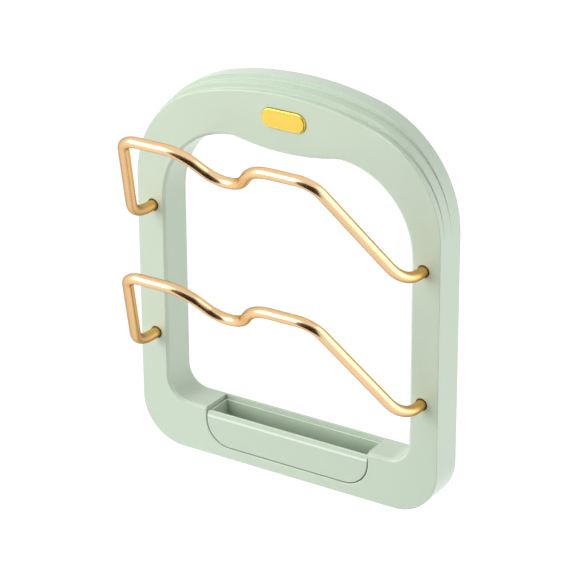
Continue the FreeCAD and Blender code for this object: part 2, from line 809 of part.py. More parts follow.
# Drip tray
def make_drip_tray():
    """A U trough with a front plate that fills the notch in the frame and a bevelled front rim.

    The trough hangs lower than the notch behind the frame's front wall, so the tray only lifts out. A
    short neck, as narrow as the trough and as high as the plate, passes the edges of that wall.
    """
    body = new_body("drip_tray")
    half = cell("tray_width") / 2
    bottom = cell("tray_bottom_height")
    corner = cell("tray_corner_radius")
    trough_half = half - cell("tray_side_inset")
    trough_bottom = bottom - cell("tray_heel")
    play = cell("tray_play")
    skin = cell("tray_wall")
    rim = sill - cell("tray_rim_drop")
    trough_back = cover + play
    neck_back = depth - wall - play
    plate_back = depth - wall + play
    stretches = (
        ("trough", trough_back, neck_back, trough_half, trough_bottom),
        ("neck", neck_back, plate_back, trough_half, bottom),
        ("front_plate", plate_back, depth, half, bottom),
    )
    for name, back, front, half_across, floor in stretches:
        outline = new_sketch(body, f"{name}_outline", back)
        draw_trough(outline, half_across, floor, corner, rim)
        pad(body, outline, name, front - back)
    inside_back = trough_back + skin
    inside = new_sketch(body, "tray_inside_outline", inside_back)
    inside_half = trough_half - cell("tray_end_wall")
    draw_trough(inside, inside_half, trough_bottom + skin, corner - skin, rim + skin)
    cut(body, inside, "tray_inside", depth - cell("tray_front_wall") - inside_back, forwards=True)
    face = -depth.value
    bevel_edges(
        body,
        "front_rim_bevel",
        lambda point: near(point.y, face) and near(point.z, rim.value),
        cell("tray_bevel_depth"),
        cell("tray_bevel_height"),
    )
    round_edges(body, "front_plate_edge", lambda point: near(point.y, face), cell("tray_edge_radius"))
    return body


# Badge
def make_badge():
    """A bare pill set into the crown, with a bevelled rim and two pegs through the shell's front."""
    body = new_body("badge")
    seat = depth - cell("badge_recess")
    outline = new_sketch(body, "badge_outline", seat)
    draw_pill(outline, cell("badge_length"), cell("badge_height"), badge_height_above_bottom)
    pad(body, outline, "badge_plate", cell("badge_recess") + cell("badge_proud"))
    face = -(depth + cell("badge_proud")).value
    bevel = cell("badge_bevel")
    bevel_edges(body, "badge_bevel_edge", lambda point: near(point.y, face), bevel, bevel)
    pegs = new_sketch(body, "badge_peg_outlines", depth - wall)
    peg_places = [(cell("badge_peg_spacing") / 2, badge_height_above_bottom)]
    draw_circles(pegs, peg_places, cell("badge_peg_diameter") / 2)
    pad(body, pegs, "badge_pegs", wall - cell("badge_recess"))
    return body


# Assembly
def make_pieces():
    pieces = [make_front_shell(), make_back_cover(), make_drip_tray(), make_badge(), make_cover_screws()]
    for level, height in hoop_heights.items():
        pieces.append(make_hoop(f"{level}_hoop", height))
        for side, sign in (("left", -1), ("right", 1)):
            pieces.append(make_sleeve(f"{level}_{side}_sleeve", hole_x * sign, height))
    doc.recompute()
    return pieces


def check_pieces(pieces):
    """Stops if any feature failed or any piece has no sound shape."""
    for item in doc.Objects:
        if "Invalid" in item.State or "Error" in item.State:
            raise RuntimeError(f"{item.Name} failed: {item.State}")
    for piece in pieces:
        if piece.Shape.isNull() or not piece.Shape.isValid():
            raise RuntimeError(f"{piece.Label} has no valid shape")


def write_pieces(pieces):
    os.makedirs(OUT_FOLDER, exist_ok=True)
    for piece in pieces:
        shape = piece.Shape
        shape.exportStep(os.path.join(OUT_FOLDER, f"{piece.Label}.step"))
        print(f"{piece.Label}: {len(shape.Solids)} solids, {shape.Volume / 1000:.2f} cm3")


rack = make_pieces()
check_pieces(rack)
write_pieces(rack)
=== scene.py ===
"""Looks of a wall-hung pot lid rack: stepped mint frame, bent wire hoops, gold badge and drip tray."""

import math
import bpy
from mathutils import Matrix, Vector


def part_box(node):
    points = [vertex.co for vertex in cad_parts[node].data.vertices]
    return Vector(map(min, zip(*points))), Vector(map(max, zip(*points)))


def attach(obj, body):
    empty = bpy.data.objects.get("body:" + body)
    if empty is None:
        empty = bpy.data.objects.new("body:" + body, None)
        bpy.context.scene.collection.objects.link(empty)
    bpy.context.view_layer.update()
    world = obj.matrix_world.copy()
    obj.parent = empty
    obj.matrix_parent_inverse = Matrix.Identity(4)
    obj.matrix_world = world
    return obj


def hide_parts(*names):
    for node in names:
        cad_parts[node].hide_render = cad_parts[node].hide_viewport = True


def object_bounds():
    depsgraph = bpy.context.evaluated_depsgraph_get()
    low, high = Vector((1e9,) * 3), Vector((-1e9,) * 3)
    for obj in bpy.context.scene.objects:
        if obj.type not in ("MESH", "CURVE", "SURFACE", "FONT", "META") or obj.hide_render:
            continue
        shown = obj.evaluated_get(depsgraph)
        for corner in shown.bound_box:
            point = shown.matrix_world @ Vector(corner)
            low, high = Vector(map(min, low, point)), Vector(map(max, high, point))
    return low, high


bl_info = {
    "name": "Pot lid rack",
    "version": (1, 0, 0),
    "blender": (4, 5, 0),
    "location": "3D View > Sidebar > Lid rack",
    "description": "Dresses the packed pot lid rack with its wire hoops, badge, finishes and studio",
    "category": "Object",
}

import bpy
import numpy as np
from bpy.props import FloatProperty, FloatVectorProperty, IntProperty, PointerProperty
from bpy.types import Operator, Panel, PropertyGroup
from mathutils import Matrix, Vector

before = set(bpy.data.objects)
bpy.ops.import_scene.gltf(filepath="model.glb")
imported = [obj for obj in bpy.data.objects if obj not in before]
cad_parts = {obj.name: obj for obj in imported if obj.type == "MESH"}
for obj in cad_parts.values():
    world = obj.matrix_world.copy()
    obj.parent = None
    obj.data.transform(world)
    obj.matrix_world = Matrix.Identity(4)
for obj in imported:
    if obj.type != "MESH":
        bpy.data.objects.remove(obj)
CAD_BOX = [list(corner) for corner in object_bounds()]

# Nodes that share a shape or a finish
HOOPS = {"upper_hoop": "upper", "lower_hoop": "lower"}
SLEEVES = ("upper_left_sleeve", "upper_right_sleeve", "lower_left_sleeve", "lower_right_sleeve")

# Places read from the frame
BADGE_LOW, BADGE_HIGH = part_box("badge")
TRAY_LOW, TRAY_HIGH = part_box("drip_tray")
WIRE_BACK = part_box("upper_hoop")[1].y

# Rings at a wire's end, and the share of its radius that is left at the cut
END_RINGS = 6
CUT_SHARE = 0.72

# Rings on the badge's bevel and face, and how far in the face's rings go, as a share of its radius
BEVEL_RINGS = 9
FACE_RINGS = 9
FACE_SHARE = 0.985

# Attributes that the new pieces carry for their finishes
STRAIGHT_WIRE = "straight_wire"
NEAR_END = "near_end"
NEAR_BEND = "near_bend"
BEVEL_RIM = "bevel_rim"


def middle_of(node):
    """Middle of a CAD node's box."""
    low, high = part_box(node)
    return (low + high) / 2


# Sizes and colours that a user may change


class HoopSizes(PropertyGroup):
    """Sizes of the two bent wire hoops."""

    wire_diameter: FloatProperty(
        name="Wire diameter", description="Thickness of the bent wire", default=0.00699, subtype="DISTANCE"
    )
    hole_offset: FloatProperty(
        name="Hole offset",
        description="Sideways distance from the middle of the rack to a prong",
        default=middle_of("upper_right_sleeve").x,
        subtype="DISTANCE",
    )
    upper_height: FloatProperty(
        name="Upper height",
        description="Height of the upper hoop's prongs",
        default=middle_of("upper_right_sleeve").z,
        subtype="DISTANCE",
    )
    lower_height: FloatProperty(
        name="Lower height",
        description="Height of the lower hoop's prongs",
        default=middle_of("lower_right_sleeve").z,
        subtype="DISTANCE",
    )
    prong_corner: FloatProperty(
        name="Prong corner",
        description="Distance from the wall to the corner where a prong turns upwards",
        default=0.0468,
        subtype="DISTANCE",
    )
    lean_angle: FloatProperty(
        name="Lean angle",
        description="Forward lean of the loop from upright",
        default=math.radians(34.8),
        subtype="ANGLE",
    )
    riser_length: FloatProperty(
        name="Riser length",
        description="Height of the loop along its leaning plane",
        default=0.0922,
        subtype="DISTANCE",
    )
    riser_inset: FloatProperty(
        name="Riser inset",
        description="How far a riser leans towards the middle over its length",
        default=0.0320,
        subtype="DISTANCE",
    )
    notch_half_width: FloatProperty(
        name="Notch half width",
        description="Half of the width of the lid notch at its rims",
        default=0.0255,
        subtype="DISTANCE",
    )
    notch_side_angle: FloatProperty(
        name="Notch side angle",
        description="Angle of a notch side from the loop's upward line",
        default=math.radians(37.5),
        subtype="ANGLE",
    )
    prong_bend: FloatProperty(
        name="Prong bend", description="Bend radius above a prong", default=0.032, subtype="DISTANCE"
    )
    corner_bend: FloatProperty(
        name="Corner bend", description="Bend radius at an outer corner", default=0.015, subtype="DISTANCE"
    )
    rim_bend: FloatProperty(
        name="Rim bend", description="Bend radius at a rim of the notch", default=0.024, subtype="DISTANCE"
    )
    floor_bend: FloatProperty(
        name="Floor bend", description="Bend radius at the notch floor", default=0.0178, subtype="DISTANCE"
    )
    end_round: FloatProperty(
        name="End round", description="Length of the rounded wire ends", default=0.0009, subtype="DISTANCE"
    )
    # The tint at the wire's ends is a painted reflection of the mint frame
    end_fade: FloatProperty(
        name="End fade",
        description="Length over which the tint of the wire's ends fades out",
        default=0.02,
        subtype="DISTANCE",
    )
    sides: IntProperty(name="Sides", description="Faces round the wire", default=40, min=8)


class BadgeSizes(PropertyGroup):
    """Sizes of the bare pill badge on the crown."""

    thickness: FloatProperty(
        name="Thickness", description="Depth of the badge plate", default=0.0022, subtype="DISTANCE"
    )
    bevel: FloatProperty(
        name="Bevel", description="Width of the rounded bevel", default=0.0009, subtype="DISTANCE"
    )
    dome: FloatProperty(
        name="Dome", description="Rise of the face at its middle", default=0.00018, subtype="DISTANCE"
    )
    cap_points: IntProperty(name="Cap points", description="Points on each round end", default=48, min=8)


class FinishColours(PropertyGroup):
    """Colours of the finishes."""

    frame_mint: FloatVectorProperty(
        name="Frame mint",
        description="Moulded frame plastic",
        default=(0.605, 0.720, 0.580),
        subtype="COLOR",
        min=0.0,
        max=1.0,
    )
    tray_mint: FloatVectorProperty(
        name="Tray mint",
        description="Moulded tray plastic",
        default=(0.585, 0.696, 0.561),
        subtype="COLOR",
        min=0.0,
        max=1.0,
    )
    wire_gold: FloatVectorProperty(
        name="Wire gold",
        description="Satin plating of the wire",
        default=(0.85, 0.585, 0.33),
        subtype="COLOR",
        min=0.0,
        max=1.0,
    )
    badge_gold: FloatVectorProperty(
        name="Badge gold",
        description="Polished plating of the badge",
        default=(0.87, 0.62, 0.105),
        subtype="COLOR",
        min=0.0,
        max=1.0,
    )
    sleeve_black: FloatVectorProperty(
        name="Sleeve black",
        description="Rubber of the wire sleeves",
        default=(0.008, 0.0075, 0.007),
        subtype="COLOR",
        min=0.0,
        max=1.0,
    )
    screw_grey: FloatVectorProperty(
        name="Screw grey",
        description="Zinc plating of the cover screws",
        default=(0.56, 0.57, 0.58),
        subtype="COLOR",
        min=0.0,
        max=1.0,
    )


class StageSettings(PropertyGroup):
    """Floor, lamps and camera of the studio."""

    floor_drop: FloatProperty(
        name="Floor drop", description="Height of the rack above the floor", default=0.6, subtype="DISTANCE"
    )
    ambient: FloatProperty(
        name="Ambient",
        description="Strength of the even light from all round",
        default=0.31,
        subtype="FACTOR",
        min=0.0,
        max=1.0,
    )
    key_power: FloatProperty(
        name="Key power", description="Large lamp, front left", default=72.0, unit="POWER"
    )
    top_power: FloatProperty(name="Top power", description="Lamp overhead", default=17.0, unit="POWER")
    side_power: FloatProperty(name="Side power", description="Lamp on the right", default=5.4, unit="POWER")
    camera_distance: FloatProperty(
        name="Camera distance", description="From the lens to the rack", default=1.7293, subtype="DISTANCE"
    )
    camera_azimuth: FloatProperty(
        name="Camera azimuth",
        description="Turn to the right",
        default=math.radians(32.7003),
        subtype="ANGLE",
    )
    camera_elevation: FloatProperty(
        name="Camera elevation", description="Height angle", default=math.radians(24.406), subtype="ANGLE"
    )
    camera_roll: FloatProperty(
        name="Camera roll",
        description="Tilt of the picture",
        default=math.radians(-0.3694),
        subtype="ANGLE",
    )
    camera_target: FloatVectorProperty(
        name="Camera target", description="Point looked at", default=(0.0, -0.025, -0.0997), subtype="XYZ"
    )
    lens: FloatProperty(
        name="Lens", description="Focal length in millimetres", default=173.19, subtype="DISTANCE_CAMERA"
    )
    shift: FloatVectorProperty(
        name="Shift",
        description="Sideways and upward shift of the picture",
        default=(0.00589, 0.00057),
        size=2,
    )


class RackSettings(PropertyGroup):
    """All settings of the lid rack."""

    hoops: PointerProperty(name="Hoops", description="Sizes of the wire hoops", type=HoopSizes)
    badge: PointerProperty(name="Badge", description="Sizes of the badge", type=BadgeSizes)
    colours: PointerProperty(name="Colours", description="Colours of the finishes", type=FinishColours)
    stage: PointerProperty(name="Stage", description="Settings of the studio", type=StageSettings)


# Meshes from arrays


def unit(vectors):
    """Each row divided by its length."""
    return vectors / np.linalg.norm(vectors, axis=-1, keepdims=True)


def bent_line(corners, bends, arc_points=25, run_points=9):
    """Centre line of a wire bent at its corners, as points and unit tangents.

    A bend of radius r that turns by t starts r * tan(t / 2) before its corner. Its points are
    start + r * sin(a) * incoming + r * (1 - cos(a)) * inward, with a from 0 to t.
    The runs between the bends are straight.
    """
    corners = np.asarray(corners, float)
    runs = unit(np.diff(corners, axis=0))
    points = []
    tangents = []
    here = corners[0]
    for corner, arriving, leaving, radius in zip(corners[1:-1], runs[:-1], runs[1:], bends):
        turn = math.acos(float(np.clip(arriving @ leaving, -1.0, 1.0)))
        inward = unit(leaving - (arriving @ leaving) * arriving)
        start = corner - arriving * radius * math.tan(turn / 2)
        share = np.linspace(0.0, 1.0, run_points, endpoint=False)[:, None]
        points.append(here + share * (start - here))
        tangents.append(np.repeat(arriving[None], run_points, axis=0))
        angle = np.linspace(0.0, turn, arc_points)[:, None]
        points.append(start + radius * (np.sin(angle) * arriving + (1 - np.cos(angle)) * inward))
        tangents.append(np.cos(angle) * arriving + np.sin(angle) * inward)
        here = corner + leaving * radius * math.tan(turn / 2)
    share = np.linspace(0.0, 1.0, run_points + 1)[1:, None]
    points.append(here + share * (corners[-1] - here))
    tangents.append(np.repeat(runs[-1][None], run_points, axis=0))
    return np.concatenate(points), np.concatenate(tangents)


def hoop_corners(sizes, height):
    """Corners of a hoop's centre line, from its left prong round to its right prong.

    A prong runs forwards from the frame. From its corner a riser climbs along (0, -sin(a), cos(a)), with a
    the lean angle, and moves inwards by its inset on the way. The notch floor lies half width / tan(side
    angle) below the crossbar, in the same leaning plane.
    """
    lean = sizes.lean_angle
    along = np.array([0.0, -math.sin(lean), math.cos(lean)])
    notch_depth = sizes.notch_half_width / math.tan(sizes.notch_side_angle)
    foot = np.array([0.0, -sizes.prong_corner, height])
    top = foot + along * sizes.riser_length
    right = np.array(
        [
            [sizes.hole_offset, WIRE_BACK, height],
            foot + [sizes.hole_offset, 0.0, 0.0],
            top + [sizes.hole_offset - sizes.riser_inset, 0.0, 0.0],
            top + [sizes.notch_half_width, 0.0, 0.0],
        ]
    )
    floor = (top - along * notch_depth)[None]
    return np.concatenate([right * [-1.0, 1.0, 1.0], floor, right[::-1]])


def wire_surface(points, tangents, flat_normal, radius, end_round, sides):
    """Grid of a round wire carried along its centre line, and the same wire pulled straight.

    A ring at a point is radius * (cos(p) * side + sin(p) * up), with side across the tangent and the
    loop's flat normal, and up across side and the tangent. Near both ends the radius shrinks along a
    quarter ellipse to the cut's share of itself, and a nearly flat cap closes the cut. The straight wire
    has the length travelled and the two ring offsets as its coordinates, for a pattern without a seam.
    """
    travelled = np.concatenate([[0.0], np.cumsum(np.linalg.norm(np.diff(points, axis=0), axis=1))])
    total = travelled[-1]
    bow = np.linspace(0.0, math.pi / 2, END_RINGS + 1)[1:]
    near = end_round * (1 - np.cos(bow))
    middle = travelled[(travelled > end_round) & (travelled < total - end_round)]
    stations = np.unique(np.concatenate([near, middle, total - near]))
    centre = np.stack([np.interp(stations, travelled, line) for line in points.T], axis=1)
    ahead = unit(np.stack([np.interp(stations, travelled, line) for line in tangents.T], axis=1))
    from_end = np.minimum(stations, total - stations)
    round_off = np.clip(1 - from_end / end_round, 0.0, 1.0)
    thickness = radius * (CUT_SHARE + (1 - CUT_SHARE) * np.sqrt(1 - round_off**2))
    side = unit(np.cross(ahead, flat_normal))
    up = np.cross(side, ahead)
    around = np.linspace(0.0, 2 * math.pi, sides, endpoint=False)
    across = np.cos(around)[None, :, None] * side[:, None] + np.sin(around)[None, :, None] * up[:, None]
    grid = centre[:, None] + thickness[:, None, None] * across
    straight = np.empty_like(grid)
    straight[..., 0] = stations[:, None]
    straight[..., 1] = thickness[:, None] * np.cos(around)
    straight[..., 2] = thickness[:, None] * np.sin(around)
    return grid, straight, points[[0, -1]]


def badge_profile(sizes, radius, face):
    """Insets and depths of the badge's rings, from its back edge to the middle of its face.

    The bevel is a quarter circle: with a from 0 to a right angle, its inset is bevel * (1 - cos(a)) and it
    lies bevel * (1 - sin(a)) behind the edge of the face. On the face, a share s of the way in lies
    dome * (1 - s * (2 - s)) behind the middle.
    """
    rise = np.linspace(0.0, math.pi / 2, BEVEL_RINGS)
    bevel_insets = sizes.bevel * (1 - np.cos(rise))
    bevel_depths = face + sizes.dome + sizes.bevel * (1 - np.sin(rise))
    inward = np.linspace(0.0, 1.0, FACE_RINGS + 1)[1:]
    face_insets = sizes.bevel + (radius * FACE_SHARE - sizes.bevel) * inward
    face_depths = face + sizes.dome * (1 - inward * (2 - inward))
    insets = np.concatenate([[0.0], bevel_insets, face_insets])
    depths = np.concatenate([[face + sizes.thickness], bevel_depths, face_depths])
    return insets, depths


def pill_rings(centre, half_run, radius, insets, depths, cap_points):
    """Grid of pill outlines, one for each pair of inset and depth.

    A pill of radius r is two half circles centred half_run to each side of the middle. An inset takes
    the same amount off the radius everywhere, and the depth is the ring's place along Y.
    """
    half = np.linspace(-math.pi / 2, math.pi / 2, cap_points)
    turn = np.concatenate([half, half + math.pi])
    offset = np.concatenate([np.full(cap_points, half_run), np.full(cap_points, -half_run)])
    reach = (radius - insets)[:, None]
    grid = np.empty((len(insets), 2 * cap_points, 3))
    grid[..., 0] = centre[0] + offset + reach * np.cos(turn)
    grid[..., 1] = depths[:, None]
    grid[..., 2] = centre[2] + reach * np.sin(turn)
    return grid


def skin(name, grid, poles):
    """Closed mesh object over a grid whose columns run round it, with a pole closing each end."""
    rows, columns = grid.shape[:2]
    index = np.arange(rows * columns).reshape(rows, columns)
    following = np.roll(index, -1, axis=1)
    quads = np.stack([index[:-1], index[1:], following[1:], following[:-1]], axis=-1).reshape(-1, 4)
    first = rows * columns
    opening = np.stack([np.full(columns, first), index[0], following[0]], axis=-1)
    closing = np.stack([index[-1], np.full(columns, first + 1), following[-1]], axis=-1)
    points = np.concatenate([grid.reshape(-1, 3), np.asarray(poles, float)])
    mesh = bpy.data.meshes.new(name)
    mesh.from_pydata(points.tolist(), [], quads.tolist() + opening.tolist() + closing.tolist())
    mesh.polygons.foreach_set("use_smooth", np.ones(len(mesh.polygons), bool))
    mesh.update()
    piece = bpy.data.objects.new(name, mesh)
    bpy.context.scene.collection.objects.link(piece)
    return piece


def mark_points(piece, name, values):
    """Attribute with a number, or a vector, for each point of a piece."""
    kind, field = ("FLOAT", "value") if values.ndim == 1 else ("FLOAT_VECTOR", "vector")
    attribute = piece.data.attributes.new(name, kind, "POINT")
    attribute.data.foreach_set(field, values.astype(np.float32).ravel())


def mark_wire(piece, straight, sizes):
    """Attributes of a hoop: its points on the straight wire, and how near they are to an end or its bend.

    Nearness is (start - distance from the end) / fade, held between 0 and 1.
    """
    ends = np.array([[0.0, 0.0, 0.0], [straight[-1, 0, 0], 0.0, 0.0]])
    place = np.concatenate([straight.reshape(-1, 3), ends])
    mark_points(piece, STRAIGHT_WIRE, place)
    travelled = place[:, 0]
    from_end = np.minimum(travelled, travelled.max() - travelled)
    bend_end = sizes.prong_corner + sizes.prong_bend
    mark_points(piece, NEAR_END, np.clip((sizes.prong_corner - from_end) / sizes.end_fade, 0.0, 1.0))
    mark_points(piece, NEAR_BEND, np.clip((bend_end - from_end) / sizes.prong_bend, 0.0, 1.0))


# Finishes

# Reach of most noise values, and the height of a grain under a bump of strength 1
NOISE_LOW, NOISE_HIGH = 0.2, 0.8
GRAIN_HEIGHT = 0.0001

# Colour sockets of a Mix node, whose names stand for its other kinds of value too
COLOUR_A, COLOUR_B, COLOUR_RESULT = 6, 7, 2

# Moulded plastic: its glossy skin, its grain, the colour of the painted highlight on its edges and the way
# a deep wall with painted shade faces
COAT_WEIGHT, COAT_ROUGHNESS = 0.6, 0.2
PLASTIC_BUMP = 0.12
PAINTED_HIGHLIGHT = (1.0, 1.0, 0.97, 1.0)
FRONTWARD = (0.0, -1.0, 0.0)

# The tray's slanted front rim: the way it faces, how nearly a face must agree with that to start and to
# count in full, and the colour of the painted shade that darkens it
RIM_FACING = (0.0, -0.884, 0.468)
RIM_START, RIM_FULL = 0.97, 0.995
RIM_PAINTED_SHADE = (0.66, 0.75, 0.65, 1.0)

# The painted highlight line at the rim's foot: its height, the back of the front plate that carries it, its
# strength and the distances from its middle at which it starts to fade and is gone
FOOT_HEIGHT = TRAY_HIGH.z - 0.0031
FOOT_BACK = TRAY_LOW.y + 0.0025
FOOT_STRENGTH = 0.42
FOOT_FULL, FOOT_GONE = 0.0004, 0.0009

# Roughness added on the bends above a wire's prongs
BEND_DULLING = 0.08


def add_node(tree, kind, x, y, **values):
    """Node of a kind at a place in the tree, with its own settings."""
    node = tree.nodes.new(kind)
    node.location = (x, y)
    for key, value in values.items():
        setattr(node, key, value)
    return node


def set_inputs(node, **values):
    """Values of a node's named inputs, with underscores for spaces."""
    for key, value in values.items():
        node.inputs[key.replace("_", " ")].default_value = value
    return node


def new_group(name, inputs, outputs):
    """Shader node group with named sockets, and its input and output nodes."""
    tree = bpy.data.node_groups.new(name, "ShaderNodeTree")
    for label, kind, default in inputs:
        socket = tree.interface.new_socket(name=label, in_out="INPUT", socket_type=kind)
        if default is not None:
            socket.default_value = default
    for label, kind in outputs:
        tree.interface.new_socket(name=label, in_out="OUTPUT", socket_type=kind)
    return tree, add_node(tree, "NodeGroupInput", -900, 0), add_node(tree, "NodeGroupOutput", 700, 0)


def place_group(tree, build, x, y, **values):
    """Group node with its own values. Its group is built at its first use and shared from then on."""
    name = build.__name__
    node = add_node(tree, "ShaderNodeGroup", x, y)
    node.node_tree = bpy.data.node_groups.get(name) or build(name)
    return set_inputs(node, **values)


def span(tree, x, y, noise, low, high):
    """Noise value carried smoothly from its reach to the span from low to high."""
    node = add_node(tree, "ShaderNodeMapRange", x, y, interpolation_type="SMOOTHSTEP")
    set_inputs(node, From_Min=NOISE_LOW, From_Max=NOISE_HIGH)
    tree.links.new(noise, node.inputs["Value"])
    tree.links.new(low, node.inputs["To Min"])
    tree.links.new(high, node.inputs["To Max"])
    return node.outputs["Result"]


def scaled(tree, x, y, colour, factor):
    """Colour made lighter or darker by a factor."""
    node = add_node(tree, "ShaderNodeVectorMath", x, y, operation="SCALE")
    tree.links.new(colour, node.inputs[0])
    tree.links.new(factor, node.inputs["Scale"])
    return node.outputs["Vector"]


def mixed(tree, x, y, factor, colour, other, blend="MIX"):
    """Colour blended with a fixed other colour by a factor."""
    node = add_node(tree, "ShaderNodeMix", x, y, data_type="RGBA", blend_type=blend)
    node.inputs[COLOUR_B].default_value = other
    tree.links.new(factor, node.inputs["Factor"])
    tree.links.new(colour, node.inputs[COLOUR_A])
    return node.outputs[COLOUR_RESULT]


def agreement(tree, x, y, direction):
    """How nearly a surface faces a direction: one where it does, zero across it."""
    facing = add_node(tree, "ShaderNodeNewGeometry", x, y)
    node = add_node(tree, "ShaderNodeVectorMath", x + 250, y, operation="DOT_PRODUCT")
    node.inputs[1].default_value = direction
    tree.links.new(facing.outputs["Normal"], node.inputs[0])
    return node.outputs["Value"]


def moulded_grain(name):
    """Group for moulded plastic: slow flow marks in its tone and gloss, and a fine spark-eroded grain."""
    tree, given, result = new_group(
        name,
        [
            ("Colour", "NodeSocketColor", (0.6, 0.7, 0.6, 1.0)),
            ("Darkest", "NodeSocketFloat", 0.988),
            ("Lightest", "NodeSocketFloat", 1.012),
            ("Grain", "NodeSocketFloat", 1400.0),
            ("Smooth", "NodeSocketFloat", 0.29),
            ("Rough", "NodeSocketFloat", 0.33),
        ],
        [("Colour", "NodeSocketColor"), ("Roughness", "NodeSocketFloat"), ("Height", "NodeSocketFloat")],
    )
    place = add_node(tree, "ShaderNodeTexCoord", -900, -300)
    flow = add_node(tree, "ShaderNodeTexNoise", -600, 200)
    set_inputs(flow, Scale=11.0, Detail=2.0, Distortion=0.2)
    grain = set_inputs(add_node(tree, "ShaderNodeTexNoise", -600, -200), Detail=2.0, Roughness=0.6)
    tree.links.new(place.outputs["Object"], flow.inputs["Vector"])
    tree.links.new(place.outputs["Object"], grain.inputs["Vector"])
    tree.links.new(given.outputs["Grain"], grain.inputs["Scale"])
    tone = span(tree, -300, 300, flow.outputs["Fac"], given.outputs["Darkest"], given.outputs["Lightest"])
    gloss = span(tree, -300, 0, flow.outputs["Fac"], given.outputs["Smooth"], given.outputs["Rough"])
    tint = scaled(tree, 0, 200, given.outputs["Colour"], tone)
    tree.links.new(tint, result.inputs["Colour"])
    tree.links.new(gloss, result.inputs["Roughness"])
    tree.links.new(grain.outputs["Fac"], result.inputs["Height"])
    return tree


def drawn_metal(name):
    """Group for drawn or brushed metal: streaks along a vector's first axis in tone, gloss and height."""
    tree, given, result = new_group(
        name,
        [
            ("Vector", "NodeSocketVector", None),
            ("Colour", "NodeSocketColor", (0.8, 0.6, 0.3, 1.0)),
            ("Darkest", "NodeSocketFloat", 0.94),
            ("Lightest", "NodeSocketFloat", 1.03),
            ("Along", "NodeSocketFloat", 60.0),
            ("Across", "NodeSocketFloat", 1500.0),
            ("Smooth", "NodeSocketFloat", 0.2),
            ("Rough", "NodeSocketFloat", 0.28),
        ],
        [("Colour", "NodeSocketColor"), ("Roughness", "NodeSocketFloat"), ("Height", "NodeSocketFloat")],
    )
    stretch = add_node(tree, "ShaderNodeCombineXYZ", -700, -200)
    tree.links.new(given.outputs["Along"], stretch.inputs["X"])
    tree.links.new(given.outputs["Across"], stretch.inputs["Y"])
    tree.links.new(given.outputs["Across"], stretch.inputs["Z"])
    drawn = add_node(tree, "ShaderNodeVectorMath", -500, 0, operation="MULTIPLY")
    tree.links.new(given.outputs["Vector"], drawn.inputs[0])
    tree.links.new(stretch.outputs["Vector"], drawn.inputs[1])
    streak = add_node(tree, "ShaderNodeTexNoise", -300, 0)
    set_inputs(streak, Scale=1.0, Detail=3.0, Roughness=0.65)
    tree.links.new(drawn.outputs["Vector"], streak.inputs["Vector"])
    tone = span(tree, -50, 250, streak.outputs["Fac"], given.outputs["Darkest"], given.outputs["Lightest"])
    gloss = span(tree, -50, -50, streak.outputs["Fac"], given.outputs["Smooth"], given.outputs["Rough"])
    tint = scaled(tree, 200, 200, given.outputs["Colour"], tone)
    tree.links.new(tint, result.inputs["Colour"])
    tree.links.new(gloss, result.inputs["Roughness"])
    tree.links.new(streak.outputs["Fac"], result.inputs["Height"])
    return tree


def soft_edges(name):
    """Group for moulded edges: a normal rounded over sharp corners, and a painted highlight that lightens
    the colour on them.
    """
    tree, given, result = new_group(
        name,
        [
            ("Colour", "NodeSocketColor", (0.6, 0.7, 0.6, 1.0)),
            ("Radius", "NodeSocketFloat", 0.0006),
            ("Lighten", "NodeSocketFloat", 0.35),
            ("Full bend", "NodeSocketFloat", 0.75),
        ],
        [("Colour", "NodeSocketColor"), ("Normal", "NodeSocketVector")],
    )
    rounded = add_node(tree, "ShaderNodeBevel", -600, -100, samples=8)
    tree.links.new(given.outputs["Radius"], rounded.inputs["Radius"])
    flat = add_node(tree, "ShaderNodeNewGeometry", -600, -300)
    agree = add_node(tree, "ShaderNodeVectorMath", -350, -200, operation="DOT_PRODUCT")
    tree.links.new(rounded.outputs["Normal"], agree.inputs[0])
    tree.links.new(flat.outputs["Normal"], agree.inputs[1])
    bend = set_inputs(add_node(tree, "ShaderNodeMapRange", -100, -200), From_Min=1.0)
    tree.links.new(agree.outputs["Value"], bend.inputs["Value"])
    tree.links.new(given.outputs["Full bend"], bend.inputs["From Max"])
    tree.links.new(given.outputs["Lighten"], bend.inputs["To Max"])
    # Painted highlight: the colour turns pale where the rounded normal bends away from the flat one
    pale = mixed(tree, 200, 100, bend.outputs["Result"], given.outputs["Colour"], PAINTED_HIGHLIGHT)
    tree.links.new(pale, result.inputs["Colour"])
    tree.links.new(rounded.outputs["Normal"], result.inputs["Normal"])
    return tree


def deep_shade(name):
    """Group for a narrow trough: painted shade, from ambient occlusion, that darkens the colour on its
    hemmed-in back wall, which faces the front.
    """
    tree, given, result = new_group(
        name,
        [
            ("Colour", "NodeSocketColor", (0.6, 0.7, 0.6, 1.0)),
            ("Reach", "NodeSocketFloat", 0.025),
            ("Darkest", "NodeSocketFloat", 0.6),
        ],
        [("Colour", "NodeSocketColor")],
    )
    hemmed = add_node(tree, "ShaderNodeAmbientOcclusion", -600, -100, samples=8)
    tree.links.new(given.outputs["Reach"], hemmed.inputs["Distance"])
    shade = set_inputs(add_node(tree, "ShaderNodeMapRange", -300, -100), From_Min=0.1, From_Max=0.6)
    tree.links.new(hemmed.outputs["AO"], shade.inputs["Value"])
    tree.links.new(given.outputs["Darkest"], shade.inputs["To Min"])
    wall = set_inputs(add_node(tree, "ShaderNodeMix", -100, -200), A=1.0)
    tree.links.new(agreement(tree, -600, -300, FRONTWARD), wall.inputs["Factor"])
    tree.links.new(shade.outputs["Result"], wall.inputs["B"])
    # Painted shade: the colour is scaled down on front-facing walls by how hemmed in they are
    tint = scaled(tree, 100, 0, given.outputs["Colour"], wall.outputs["Result"])
    tree.links.new(tint, result.inputs["Colour"])
    return tree


